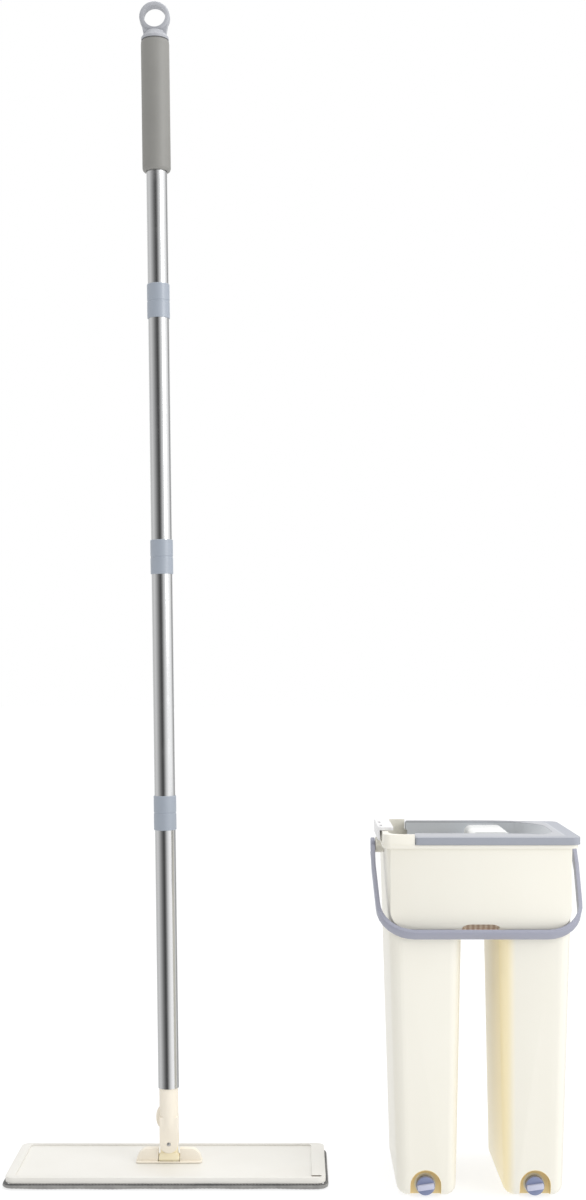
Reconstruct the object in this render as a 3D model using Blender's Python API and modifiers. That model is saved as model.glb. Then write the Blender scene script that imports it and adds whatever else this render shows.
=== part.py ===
"""A flat mop with its two-compartment squeeze bucket, built piece by piece.

Units are metres and +Z is up. The origin is on the floor, in the middle of the whole set.
The mop stands on the left (-X) with its pole leaning a little, and the bucket stands on the right.
"""

import math

import bpy
import bmesh
from mathutils import Matrix, Vector

MM = 0.001
GAP = 0.3 * MM

# Where the two halves of the set stand.
MOP_X = -129.1 * MM
MOP_Y = 13.1 * MM
BUCKET_X = 188.0 * MM
BUCKET_Y = 3.1 * MM

# Mop pole: four steel tubes screwed together through plastic collars.
POLE_LEAN = math.radians(0.75)
TUBE_R = 11.0 * MM
TUBE_WALL = 0.7 * MM
TUBE_LOW = 88 * MM
TUBE_TOP = 1170 * MM
COLLAR_R = 11.9 * MM
COLLAR_LENGTH = 36 * MM
COLLAR_HEIGHTS = (376 * MM, 644 * MM, 912 * MM)
STUD_R = TUBE_R - TUBE_WALL - GAP
STUD_REACH = 24 * MM
GRIP_R = 14.9 * MM
GRIP_LOW = 1048 * MM
GRIP_TOP = 1186 * MM
RING_R = 16 * MM
RING_HOLE_R = 11.4 * MM
RING_DEPTH = 12 * MM
RING_CENTRE = 1210 * MM

# Universal joint at the foot of the pole.
NECK_PIN_Z = 30.2 * MM
YOKE_PIN_Z = 13.6 * MM
YOKE_R = 5.0 * MM
YOKE_HALF = 10.9 * MM
YOKE_PIN_HALF = 14.9 * MM
NECK_R = 9.9 * MM
CHEEK_HALF_X = 9.5 * MM
CHEEK_HALF_Y = 8.6 * MM
TONGUE_HALF = 4.0 * MM
TONGUE_R = 9.0 * MM
PIN_R = 2.0 * MM
PIN_FIT = 0.1 * MM
SADDLE_HALF_X = 34.5 * MM
SADDLE_HALF_Y = 8.5 * MM
WING_START = 11.0 * MM
WING_END = 34.0 * MM
WING_ROUND = 11.0 * MM
WING_HALF_Y = 4.4 * MM
WING_TOP = 24.4 * MM
SADDLE_SCREW_XS = (-29 * MM, -22 * MM, 22 * MM, 29 * MM)
SCREW_R = 1.4 * MM
SCREW_HEAD_R = 2.9 * MM
SCREW_TOP = 17.5 * MM

# Head plate and pad.
PLATE_X = 326 * MM
PLATE_Y = 118 * MM
PLATE_LOW = 5.6 * MM
PLATE_DECK = 10.0 * MM
PLATE_RIM = 11.6 * MM
PLATE_CORNER = 9 * MM
PAD_X = 332 * MM
PAD_Y = 124 * MM
PAD_THICK = 5.2 * MM
PAD_CORNER = 11 * MM

# Bucket: two tall legs under one basin.
BODY_HALF_X = 94.2 * MM
BODY_FOOT_X = 83.1 * MM
LEG_INNER_TOP = 16.4 * MM
LEG_INNER_FOOT = 23.8 * MM
LEG_HALF_Y = 73.5 * MM
LEG_CORNER = 13.5 * MM
FOOT_DEPTH_SHARE = 0.98
FOOT_ROUND = 9.5 * MM
WALL = 2.5 * MM
PANEL_HALF_X = 90.4 * MM
PANEL_HALF_Y = 77.0 * MM
PANEL_CORNER = 18 * MM
BASIN_LOW = 272 * MM
FLANGE_LOW = 348.6 * MM
FLANGE_TOP = 352.0 * MM
RIM_TOP = 362.4 * MM
RIM_HALF_X = 97.5 * MM
RIM_HALF_Y = 79.0 * MM
LID_START = -65.5 * MM
DRAIN_X = 54.7 * MM
DRAIN_Z = 9.9 * MM
DRAIN_NICHE_R = 15.3 * MM
DRAIN_NICHE_TOP = 26.4 * MM
NICHE_BACK = -61.0 * MM
DRAIN_HOLE_R = 5.2 * MM
PLUG_TILT = math.radians(8)

# Squeeze lid, with the wash opening on the left and the squeeze slot on the right.
LID_HALF_X = 99.5 * MM
LID_HALF_Y = 80.5 * MM
LID_LOW = 352.4 * MM
LID_EDGE = 359.6 * MM
LID_CREST = 362.2 * MM
OPENING_HALF_Y = 61.8 * MM
OPENING_RIGHT = 86 * MM
TRAY_LOW = 336 * MM
SLOT_LEFT = 36.5 * MM
SLOT_RIGHT = 62.5 * MM
BLOCK_LEFT = -5.5 * MM
BLOCK_RIGHT = 35.5 * MM
BLOCK_HALF_Y = 34.5 * MM
BLOCK_TOP = 360.4 * MM

# Bail handle, resting swung forward against the legs.
BAIL_PIVOT_Z = 343.5 * MM
BAIL_ARM = 113.9 * MM
BAIL_REST = math.radians(45.4)
BAIL_HALF_TOP = 106.4 * MM
BAIL_HALF_LOW = 103.8 * MM
BAIL_CORNER = 36 * MM
BAIL_THICK = 4.0 * MM
BAIL_WIDTH = 11.5 * MM
BAIL_PEG_R = 4.0 * MM
BOSS_R = 8.0 * MM
BOSS_END = 101.6 * MM

CREAM = (0.93, 0.88, 0.76)
CREAM_DEEP = (0.88, 0.79, 0.60)
BLUE_GREY = (0.40, 0.43, 0.51)
PALE_GREY = (0.62, 0.64, 0.68)
PLUG_BLUE = (0.28, 0.31, 0.49)
WARM_GREY = (0.35, 0.34, 0.32)
STEEL = (0.60, 0.60, 0.61)
WHITE = (0.88, 0.88, 0.86)
PAD_GREY = (0.25, 0.24, 0.23)
BLACK_RUBBER = (0.05, 0.05, 0.055)


def start_scene():
    for old in list(bpy.data.objects):
        bpy.data.objects.remove(old, do_unlink=True)
    parts = bpy.data.collections.new("mop_and_bucket")
    cutters = bpy.data.collections.new("cutters")
    bpy.context.scene.collection.children.link(parts)
    bpy.context.scene.collection.children.link(cutters)
    return parts, cutters


PARTS, CUTTERS = start_scene()


# ---------------------------------------------------------------- materials


def finish(name, colour, roughness, metallic=0.0):
    material = bpy.data.materials.new(name)
    material.use_nodes = True
    shader = material.node_tree.nodes["Principled BSDF"]
    shader.inputs["Base Color"].default_value = (*colour, 1.0)
    shader.inputs["Roughness"].default_value = roughness
    shader.inputs["Metallic"].default_value = metallic
    return material


def paint(piece, colour, roughness=0.45, metallic=0.0):
    piece.data.materials.clear()
    piece.data.materials.append(finish(piece.name, colour, roughness, metallic))


# ------------------------------------------------------------------ modelling


def adopt(name, mesh):
    piece = bpy.data.objects.new(name, mesh)
    PARTS.objects.link(piece)
    return piece


def as_cutter(piece):
    for owner in list(piece.users_collection):
        owner.objects.unlink(piece)
    CUTTERS.objects.link(piece)
    piece.hide_render = True
    piece.display_type = "WIRE"
    return piece


def round_corners(x0, x1, y0, y1, radii, steps=5):
    """The outline of a rectangle with its corners rounded, from (x1, y1) anticlockwise."""
    corners = ((x1, y1, 1, 1), (x0, y1, -1, 1), (x0, y0, -1, -1), (x1, y0, 1, -1))
    outline = []
    for index, ((x, y, sx, sy), radius) in enumerate(zip(corners, radii)):
        if radius == 0:
            outline.append((x, y))
            continue
        for step in range(steps + 1):
            angle = math.radians(90 * (index + step / steps))
            outline.append(
                (x - sx * radius + radius * math.cos(angle), y - sy * radius + radius * math.sin(angle))
            )
    return outline


def arch(half_width, low, top, steps=10):
    """A U turned upside down: straight sides from low, and a half-round top."""
    centre = top - half_width
    outline = [(-half_width, low), (half_width, low)]
    for step in range(steps + 1):
        angle = math.pi * step / steps
        outline.append((half_width * math.cos(angle), centre + half_width * math.sin(angle)))
    return outline


def prism(name, outline, low, high):
    """A flat outline in XY raised from low to high, as a mesh object."""
    curve = bpy.data.curves.new(name, "CURVE")
    curve.dimensions = "2D"
    curve.fill_mode = "BOTH"
    curve.extrude = (high - low) / 2
    spline = curve.splines.new("POLY")
    spline.points.add(len(outline) - 1)
    for point, (x, y) in zip(spline.points, outline):
        point.co = (x, y, 0, 1)
    spline.use_cyclic_u = True
    guide = bpy.data.objects.new(name + "_outline", curve)
    CUTTERS.objects.link(guide)
    graph = bpy.context.evaluated_depsgraph_get()
    mesh = bpy.data.meshes.new_from_object(guide.evaluated_get(graph))
    bpy.data.objects.remove(guide, do_unlink=True)
    weld(mesh)
    mesh.transform(Matrix.Translation((0, 0, (high + low) / 2)))
    return adopt(name, mesh)


def weld(mesh):
    work = bmesh.new()
    work.from_mesh(mesh)
    bmesh.ops.remove_doubles(work, verts=work.verts, dist=0.00001)
    bmesh.ops.recalc_face_normals(work, faces=work.faces)
    work.to_mesh(mesh)
    work.free()


def stand_up(piece):
    """Turns a prism drawn in XY so that its outline stands in XZ and its depth runs along -Y to +Y."""
    piece.data.transform(Matrix.Rotation(math.radians(90), 4, "X"))
    return piece


def front_prism(name, outline, y_near, y_far):
    """A flat outline in XZ that runs from y_near to y_far."""
    return stand_up(prism(name, outline, -y_far, -y_near))


def taper(piece, place):
    """Moves each point of a piece to place(point)."""
    for vertex in piece.data.vertices:
        vertex.co = place(vertex.co)
    return piece


def cylinder(name, radius, low, high, segments=32):
    work = bmesh.new()
    bmesh.ops.create_cone(
        work,
        cap_ends=True,
        segments=segments,
        radius1=radius,
        radius2=radius,
        depth=high - low,
    )
    mesh = bpy.data.meshes.new(name)
    work.to_mesh(mesh)
    work.free()
    mesh.transform(Matrix.Translation((0, 0, (high + low) / 2)))
    return adopt(name, mesh)


def across_x(piece):
    """Turns a piece made along Z so that it runs along X."""
    piece.data.transform(Matrix.Rotation(math.radians(90), 4, "Y"))
    return piece


def across_y(piece):
    """Turns a piece made along Z so that it runs along Y, its low end in front."""
    piece.data.transform(Matrix.Rotation(math.radians(-90), 4, "X"))
    return piece


def shift(piece, x=0.0, y=0.0, z=0.0):
    piece.data.transform(Matrix.Translation((x, y, z)))
    return piece


def turned(name, profile, segments=32):
    """A profile of (radius, height) points, outer side from top to bottom, turned about Z."""
    mesh = bpy.data.meshes.new(name)
    points = [(radius, 0, height) for radius, height in profile]
    closed = profile[0][0] > 0
    edges = [(i, i + 1) for i in range(len(points) - 1)]
    if closed:
        edges.append((len(points) - 1, 0))
    mesh.from_pydata(points, edges, [])
    piece = adopt(name, mesh)
    screw = piece.modifiers.new("turn", "SCREW")
    screw.steps = segments
    screw.render_steps = segments
    screw.use_merge_vertices = True
    screw.merge_threshold = 0.00001
    return make_real(piece)


def make_real(piece):
    """Replaces a piece's mesh with its evaluated mesh and drops its modifiers."""
    graph = bpy.context.evaluated_depsgraph_get()
    mesh = bpy.data.meshes.new_from_object(piece.evaluated_get(graph))
    piece.modifiers.clear()
    piece.data = mesh
    return piece


def combine(piece, other, operation):
    """Joins, cuts or trims a piece with another one, which is then removed."""
    boolean = piece.modifiers.new(operation, "BOOLEAN")
    boolean.operation = operation
    boolean.object = other
    make_real(piece)
    weld(piece.data)
    bpy.data.objects.remove(other, do_unlink=True)
    return piece


def cut(piece, other):
    return combine(piece, as_cutter(other), "DIFFERENCE")


def join(piece, other):
    return combine(piece, other, "UNION")


def soften(piece, width, segments=2, angle=40):
    bevel = piece.modifiers.new("soft_edges", "BEVEL")
    bevel.width = width
    bevel.segments = segments
    bevel.limit_method = "ANGLE"
    bevel.angle_limit = math.radians(angle)
    return make_real(piece)


def smooth(piece, angle=35):
    piece.data.shade_smooth()
    piece.data.set_sharp_from_angle(angle=math.radians(angle))
    return piece


def set_origin(piece, point):
    """Moves a piece's own origin to a point without moving its shape."""
    piece.data.transform(Matrix.Translation(-Vector(point)))
    piece.location = point
    return piece


# ------------------------------------------------------------------- mop pole

NECK_PIN = Vector((MOP_X, MOP_Y, NECK_PIN_Z))
POLE_PLACE = (
    Matrix.Translation(NECK_PIN)
    @ Matrix.Rotation(-POLE_LEAN, 4, "Y")
    @ Matrix.Translation((0, 0, -NECK_PIN_Z))
)


def on_pole(piece):
    """Leans a piece drawn around the Z axis with the pole, and hinges it on the neck pin."""
    piece.data.transform(POLE_PLACE)
    set_origin(piece, NECK_PIN)
    return smooth(piece)


def pole_tubes():
    breaks = [TUBE_LOW, *COLLAR_HEIGHTS, TUBE_TOP]
    for index in range(len(breaks) - 1):
        low = breaks[index] + (2 * MM if index else 0)
        high = breaks[index + 1] - (2 * MM if index < len(COLLAR_HEIGHTS) else 0)
        inner = TUBE_R - TUBE_WALL
        outline = ((TUBE_R, high), (TUBE_R, low), (inner, low), (inner, high))
        tube = turned(f"pole_tube_{index + 1}", outline, 36)
        paint(tube, STEEL, 0.22, 1.0)
        on_pole(tube)


def pole_collars():
    for index, height in enumerate(COLLAR_HEIGHTS):
        low = height - COLLAR_LENGTH / 2
        high = height + COLLAR_LENGTH / 2
        bore = TUBE_R + 0.15 * MM
        lip = 0.5 * MM
        outline = (
            (COLLAR_R - lip, high),
            (COLLAR_R, high - lip),
            (COLLAR_R, height + 1.0 * MM),
            (COLLAR_R - 0.35 * MM, height + 0.6 * MM),
            (COLLAR_R - 0.35 * MM, height - 0.6 * MM),
            (COLLAR_R, height - 1.0 * MM),
            (COLLAR_R, low + lip),
            (COLLAR_R - lip, low),
            (bore, low),
            (bore, high),
        )
        collar = turned(f"pole_collar_{index + 1}", outline, 36)
        paint(collar, BLUE_GREY, 0.45)
        on_pole(collar)


def coupler_studs():
    """Threaded plastic plugs inside the tube ends, which screw the sections together."""
    for index, height in enumerate(COLLAR_HEIGHTS):
        core = 6.5 * MM
        outline = (
            (STUD_R - 1.0 * MM, height + STUD_REACH),
            (STUD_R, height + STUD_REACH - 1.5 * MM),
            (STUD_R, height - STUD_REACH + 1.5 * MM),
            (STUD_R - 1.0 * MM, height - STUD_REACH),
            (core, height - STUD_REACH),
            (core, height + STUD_REACH),
        )
        stud = turned(f"coupler_stud_{index + 1}", outline, 24)
        paint(stud, CREAM, 0.5)
        on_pole(stud)


def grip_sleeve():
    bore = TUBE_R + 0.2 * MM
    outline = (
        (GRIP_R - 1.6 * MM, GRIP_TOP - GAP),
        (GRIP_R - 0.3 * MM, GRIP_TOP - 1.8 * MM),
        (GRIP_R, GRIP_TOP - 5 * MM),
        (GRIP_R, GRIP_LOW + 3.5 * MM),
        (GRIP_R - 0.7 * MM, GRIP_LOW + 1.2 * MM),
        (GRIP_R - 2.0 * MM, GRIP_LOW),
        (bore, GRIP_LOW),
        (bore, GRIP_TOP - GAP),
    )
    grip = turned("grip_sleeve", outline, 36)
    paint(grip, WARM_GREY, 0.7)
    on_pole(grip)


def hang_ring_cap():
    """The end cap: a plug in the tube, a chamfered base on the grip and an eye to hang the mop by."""
    base_r = 14.5 * MM
    neck_r = 12.0 * MM
    stem_r = TUBE_R - TUBE_WALL - GAP
    profile = (
        (0, GRIP_TOP + 9 * MM),
        (neck_r - 2 * MM, GRIP_TOP + 9 * MM),
        (neck_r, GRIP_TOP + 6 * MM),
        (base_r, GRIP_TOP + 2.4 * MM),
        (base_r, GRIP_TOP),
        (stem_r, GRIP_TOP),
        (stem_r, GRIP_TOP - 40 * MM),
        (0, GRIP_TOP - 40 * MM),
    )
    cap = turned("hang_ring_cap", profile, 32)
    eye = across_y(cylinder("eye", RING_R, -RING_DEPTH / 2, RING_DEPTH / 2, 40))
    shift(eye, z=RING_CENTRE)
    soften(eye, 2.6 * MM, 3)
    shoulder = front_prism(
        "shoulder",
        (
            (-11.6 * MM, GRIP_TOP + 5 * MM),
            (11.6 * MM, GRIP_TOP + 5 * MM),
            (13.6 * MM, RING_CENTRE - 8 * MM),
            (-13.6 * MM, RING_CENTRE - 8 * MM),
        ),
        -4.6 * MM,
        4.6 * MM,
    )
    join(cap, eye)
    join(cap, shoulder)
    hole = across_y(cylinder("hole", RING_HOLE_R, -12 * MM, 12 * MM, 40))
    cut(cap, shift(hole, z=RING_CENTRE))
    paint(cap, BLUE_GREY, 0.45)
    on_pole(cap)


# ------------------------------------------------------------ universal joint


def neck_socket():
    """The plastic foot that holds the lowest tube, with two cheeks that straddle the yoke block."""
    spigot_r = TUBE_R - TUBE_WALL - GAP
    profile = (
        (0, TUBE_LOW + 32 * MM),
        (spigot_r - 1.0 * MM, TUBE_LOW + 32 * MM),
        (spigot_r, TUBE_LOW + 30 * MM),
        (spigot_r, TUBE_LOW - GAP),
        (NECK_R, TUBE_LOW - GAP),
        (NECK_R, 52 * MM),
        (CHEEK_HALF_X - 0.4 * MM, 46 * MM),
        (0, 46 * MM),
    )
    neck = turned("neck_socket", profile, 32)
    cheeks = front_prism("cheeks", cheek_outline(), -CHEEK_HALF_Y, CHEEK_HALF_Y)
    join(neck, soften(cheeks, 1.6 * MM, 3, 50))
    fin_outline = []
    for step in range(11):
        angle = math.pi * (0.5 + step / 10)
        fin_outline.append((-8.0 * MM + 5.5 * MM * math.cos(angle), 57 * MM + 11.2 * MM * math.sin(angle)))
    fin = front_prism("fin", fin_outline, -1.5 * MM, 1.5 * MM)
    join(neck, soften(fin, 0.6 * MM, 2))
    mouth = front_prism(
        "mouth",
        round_corners(-15 * MM, 15 * MM, -20 * MM, NECK_PIN_Z + TONGUE_R + 0.6 * MM, [0] * 4),
        -TONGUE_HALF - GAP,
        TONGUE_HALF + GAP,
    )
    cut(neck, mouth)
    bore = across_y(cylinder("bore", PIN_R + PIN_FIT, -20 * MM, 20 * MM, 24))
    cut(neck, shift(bore, z=NECK_PIN_Z))
    paint(neck, CREAM, 0.42)
    on_pole(neck)


def cheek_outline():
    """The neck's foot from the front: straight sides that end round about the neck pin."""
    outline = [(CHEEK_HALF_X, 58 * MM), (-CHEEK_HALF_X, 58 * MM)]
    for step in range(13):
        angle = math.pi * (1 + step / 12)
        outline.append((CHEEK_HALF_X * math.cos(angle), NECK_PIN_Z + CHEEK_HALF_X * math.sin(angle)))
    return outline


def neck_pin():
    """A steel rivet from the front cheek to the back cheek."""
    half = CHEEK_HALF_Y + 0.3 * MM
    pin = across_y(cylinder("neck_pin", PIN_R, -half, half, 24))
    shift(pin, z=NECK_PIN_Z)
    soften(pin, 0.4 * MM, 2)
    paint(pin, STEEL, 0.3, 1.0)
    on_pole(pin)


YOKE_PIN = Vector((MOP_X, MOP_Y, YOKE_PIN_Z))


def yoke_block():
    """The cross block: a round barrel across X for the pitch pin, and a tongue up to the neck pin."""
    barrel = across_x(cylinder("yoke_block", YOKE_R, -YOKE_HALF, YOKE_HALF, 28))
    shift(barrel, z=YOKE_PIN_Z)
    soften(barrel, 0.7 * MM, 2)
    tongue = front_prism(
        "tongue",
        arch(TONGUE_R, YOKE_PIN_Z - 1 * MM, NECK_PIN_Z + TONGUE_R, 12),
        -TONGUE_HALF,
        TONGUE_HALF,
    )
    join(barrel, tongue)
    shoulder = front_prism(
        "shoulder",
        round_corners(-9.4 * MM, 9.4 * MM, YOKE_PIN_Z - 0.4 * MM, 20.4 * MM, [1 * MM, 1 * MM, 0, 0], 2),
        -YOKE_R + 0.1 * MM,
        YOKE_R - 0.1 * MM,
    )
    join(barrel, shoulder)
    upper = across_y(cylinder("upper", PIN_R + PIN_FIT, -20 * MM, 20 * MM, 24))
    cut(barrel, shift(upper, z=NECK_PIN_Z))
    lower = across_x(cylinder("lower", PIN_R + PIN_FIT, -20 * MM, 20 * MM, 24))
    cut(barrel, shift(lower, z=YOKE_PIN_Z))
    paint(barrel, CREAM_DEEP, 0.45)
    shift(barrel, MOP_X, MOP_Y)
    set_origin(barrel, YOKE_PIN)
    smooth(barrel)


def yoke_pin():
    pin = across_x(cylinder("yoke_pin", PIN_R, -YOKE_PIN_HALF, YOKE_PIN_HALF, 24))
    shift(pin, MOP_X, MOP_Y, YOKE_PIN_Z)
    soften(pin, 0.4 * MM, 2)
    paint(pin, STEEL, 0.3, 1.0)
    smooth(pin)


def hinge_saddle():
    """Two upright wings on a narrow foot, one each side of the cross block, bored for the yoke pin."""
    low = PLATE_DECK + GAP
    base = prism(
        "hinge_saddle",
        round_corners(-SADDLE_HALF_X, SADDLE_HALF_X, -SADDLE_HALF_Y, SADDLE_HALF_Y, [4 * MM] * 4),
        low,
        low + 1.8 * MM,
    )
    soften(base, 0.6 * MM, 2)
    for side in (-1, 1):
        wing = front_prism("wing", wing_outline(side, low + 0.5 * MM), -WING_HALF_Y, WING_HALF_Y)
        join(base, soften(wing, 1.2 * MM, 2))
    gap_half = YOKE_HALF + 0.5 * MM
    notch_outline = round_corners(-gap_half, gap_half, -15 * MM, 15 * MM, [0] * 4)
    cut(base, prism("notch", notch_outline, 0, 40 * MM))
    bore = across_x(cylinder("bore", PIN_R + PIN_FIT, -20 * MM, 20 * MM, 24))
    cut(base, shift(bore, z=YOKE_PIN_Z))
    strap_outline = round_corners(-gap_half - 0.6 * MM, gap_half + 0.6 * MM, -8 * MM, -6.4 * MM, [0] * 4)
    join(base, prism("strap", strap_outline, low + 0.2 * MM, low + 1.5 * MM))
    for x in SADDLE_SCREW_XS:
        hole = cylinder("hole", SCREW_R + GAP, 0, SCREW_TOP + GAP, 16)
        cut(base, shift(hole, x))
    paint(base, CREAM, 0.42)
    shift(base, MOP_X, MOP_Y)
    smooth(base)


def wing_outline(side, low):
    """A wing from the front: upright at the cross block, flat on top and rounded down to its outer end."""
    outline = [(side * WING_START, low), (side * WING_START, WING_TOP)]
    for step in range(9):
        angle = math.pi / 2 * (1 - step / 8)
        x = WING_END - WING_ROUND + WING_ROUND * math.cos(angle)
        outline.append((side * x, low + (WING_TOP - low) * math.sin(angle)))
    return outline


def saddle_screws():
    """Screws that come up from under the plate into the wings, their heads sunk in the underside."""
    for index, x in enumerate(SADDLE_SCREW_XS):
        profile = (
            (0, SCREW_TOP),
            (1.0 * MM, SCREW_TOP - 0.6 * MM),
            (SCREW_R, SCREW_TOP - 2 * MM),
            (SCREW_R, PLATE_LOW + 1.9 * MM),
            (SCREW_HEAD_R, PLATE_LOW + 1.9 * MM),
            (SCREW_HEAD_R, PLATE_LOW + 0.9 * MM),
            (SCREW_HEAD_R - 0.7 * MM, PLATE_LOW + 0.3 * MM),
            (0, PLATE_LOW + 0.3 * MM),
        )
        screw = turned(f"saddle_screw_{index + 1}", profile, 16)
        paint(screw, STEEL, 0.3, 1.0)
        shift(screw, MOP_X + x, MOP_Y)
        smooth(screw)


# ------------------------------------------------------------- plate and pad


def head_plate():
    """The flat plastic plate that carries the pad, with a raised border all round."""
    half_x = PLATE_X / 2
    half_y = PLATE_Y / 2
    plate = prism(
        "head_plate",
        round_corners(-half_x, half_x, -half_y, half_y, [PLATE_CORNER] * 4, 6),
        PLATE_LOW,
        PLATE_RIM,
    )
    soften(plate, 0.9 * MM, 2)
    border = 14 * MM
    panel = prism(
        "panel",
        round_corners(
            -half_x + border * 0.7,
            half_x - border,
            -half_y + border * 0.5,
            half_y - border * 0.4,
            [3 * MM] * 4,
            3,
        ),
        PLATE_DECK,
        PLATE_RIM + 5 * MM,
    )
    cut(plate, panel)
    latch = prism(
        "latch_slot",
        round_corners(
            half_x - 15 * MM, half_x - 4 * MM, -half_y + 4.5 * MM, -half_y + 8.5 * MM, [1.9 * MM] * 4, 3
        ),
        PLATE_RIM - 2.2 * MM,
        PLATE_RIM + 5 * MM,
    )
    cut(plate, latch)
    well = across_x(cylinder("well", YOKE_R + 0.6 * MM, -YOKE_HALF - 0.5 * MM, YOKE_HALF + 0.5 * MM, 28))
    cut(plate, shift(well, z=YOKE_PIN_Z))
    for x in SADDLE_SCREW_XS:
        hole = cylinder("hole", SCREW_R + GAP, 0, 20 * MM, 16)
        cut(plate, shift(hole, x))
        sink = cylinder("sink", SCREW_HEAD_R + 0.4 * MM, 0, PLATE_LOW + 2.2 * MM, 16)
        cut(plate, shift(sink, x))
    paint(plate, CREAM, 0.42)
    shift(plate, MOP_X, MOP_Y)
    smooth(plate)


def mop_pad():
    """The microfibre pad, a soft body as thick as the cloth and its pile."""
    half_x = PAD_X / 2
    half_y = PAD_Y / 2
    pad = prism(
        "mop_pad",
        round_corners(-half_x, half_x, -half_y, half_y, [PAD_CORNER] * 4, 6),
        0.0,
        PAD_THICK,
    )
    soften(pad, 1.5 * MM, 2)
    paint(pad, PAD_GREY, 0.95)
    shift(pad, MOP_X, MOP_Y)
    smooth(pad)


# ---------------------------------------------------------------- bucket body


def tapered_leg(side, inset, low, high, corner):
    """One leg of the bucket, narrower towards the foot. inset is 0 outside and the wall inside."""
    outer_top = BODY_HALF_X - inset
    inner_top = LEG_INNER_TOP + inset
    outer_foot = BODY_FOOT_X - inset
    inner_foot = LEG_INNER_FOOT + inset
    half_y = LEG_HALF_Y - inset
    leg = prism("leg", round_corners(inner_top, outer_top, -half_y, half_y, [corner] * 4, 5), low, high)

    def place(point):
        share = point.z / RIM_TOP
        wide = outer_top - inner_top
        outer = outer_foot + (outer_top - outer_foot) * share
        inner = inner_foot + (inner_top - inner_foot) * share
        across = (point.x - inner_top) / wide
        depth = FOOT_DEPTH_SHARE + (1 - FOOT_DEPTH_SHARE) * share
        return Vector((side * (inner + (outer - inner) * across), point.y * depth, point.z))

    taper(leg, place)
    if side < 0:
        leg.data.flip_normals()
    return leg


def rounded_foot(leg, radius):
    """Rounds the bottom edges of a leg and leaves its top sharp."""
    work = bmesh.new()
    work.from_mesh(leg.data)
    low = min(vertex.co.z for vertex in work.verts)
    rim = [
        edge
        for edge in work.edges
        if all(vertex.co.z < low + 0.0001 for vertex in edge.verts)
        and any(abs(face.normal.z) < 0.5 for face in edge.link_faces)
    ]
    bmesh.ops.bevel(
        work, geom=rim, offset=radius, offset_type="OFFSET", segments=4, profile=0.5, affect="EDGES"
    )
    work.to_mesh(leg.data)
    work.free()
    return leg


def niche_bay(side):
    """The solid that stays at the front of a leg's foot for the drain bay to be cut from."""
    bay = front_prism(
        "bay",
        arch(DRAIN_NICHE_R + WALL, -20 * MM, DRAIN_NICHE_TOP + WALL, 12),
        -LEG_HALF_Y - 20 * MM,
        NICHE_BACK + WALL,
    )
    return shift(bay, side * DRAIN_X)


def drain_niche(body, side):
    """A small arched bay at the foot of a leg, with a drain hole through its back wall."""
    niche = front_prism(
        "niche",
        arch(DRAIN_NICHE_R, -30 * MM, DRAIN_NICHE_TOP, 12),
        -LEG_HALF_Y - 30 * MM,
        NICHE_BACK,
    )
    cut(body, shift(niche, side * DRAIN_X))
    hole = across_y(cylinder("hole", DRAIN_HOLE_R, -90 * MM, -50 * MM, 24))
    cut(body, shift(hole, side * DRAIN_X, 0, DRAIN_Z))


def bucket_body():
    """The cream bucket: two legs, the basin over them, its front and back panels and the rim."""
    body = rounded_foot(tapered_leg(1, 0, 0, FLANGE_LOW + 1 * MM, LEG_CORNER), FOOT_ROUND)
    body.name = "bucket_body"
    join(body, rounded_foot(tapered_leg(-1, 0, 0, FLANGE_LOW + 1 * MM, LEG_CORNER), FOOT_ROUND))
    bridge = prism(
        "bridge",
        round_corners(-40 * MM, 40 * MM, -LEG_HALF_Y + 3 * MM, LEG_HALF_Y - 3 * MM, [0] * 4),
        BASIN_LOW,
        FLANGE_LOW + 1.4 * MM,
    )
    join(body, bridge)
    panel = front_prism(
        "panel",
        round_corners(
            -PANEL_HALF_X,
            PANEL_HALF_X,
            BASIN_LOW - 4 * MM,
            FLANGE_LOW + 1.8 * MM,
            [0, 0, PANEL_CORNER, PANEL_CORNER],
            6,
        ),
        -PANEL_HALF_Y,
        PANEL_HALF_Y,
    )
    join(body, soften(panel, 3 * MM, 2, 60))
    flange = prism(
        "flange",
        round_corners(-RIM_HALF_X, RIM_HALF_X, -RIM_HALF_Y, RIM_HALF_Y, [8 * MM] * 4, 5),
        FLANGE_LOW,
        FLANGE_TOP,
    )
    join(body, flange)
    rim = prism(
        "rim",
        round_corners(
            -RIM_HALF_X + 0.5 * MM,
            LID_START - 0.6 * MM,
            -RIM_HALF_Y + 0.4 * MM,
            RIM_HALF_Y - 0.4 * MM,
            [0, 7 * MM, 7 * MM, 0],
            5,
        ),
        FLANGE_LOW + 2.2 * MM,
        RIM_TOP,
    )
    join(body, soften(rim, 1.4 * MM, 2, 60))
    for side in (-1, 1):
        boss = across_x(cylinder("boss", BOSS_R, 80 * MM, BOSS_END, 24))
        if side < 0:
            boss.data.transform(Matrix.Rotation(math.pi, 4, "Z"))
        join(body, shift(boss, z=BAIL_PIVOT_Z))
    hollow_out(body)
    for side in (-1, 1):
        drain_niche(body, side)
    underside = front_prism(
        "arch",
        arch_cut(18.5 * MM, BASIN_LOW - 10 * MM, BASIN_LOW + 0.8 * MM),
        -PANEL_HALF_Y - 5 * MM,
        -PANEL_HALF_Y + 7 * MM,
    )
    cut(body, underside)
    join(body, arch_wall())
    for side in (-1, 1):
        bore = across_x(cylinder("bore", BAIL_PEG_R + 0.25 * MM, -9 * MM, 9 * MM, 24))
        cut(body, shift(bore, x=side * 95 * MM, z=BAIL_PIVOT_Z))
    paint(body, CREAM, 0.4)
    shift(body, BUCKET_X, BUCKET_Y)
    smooth(body)


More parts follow.
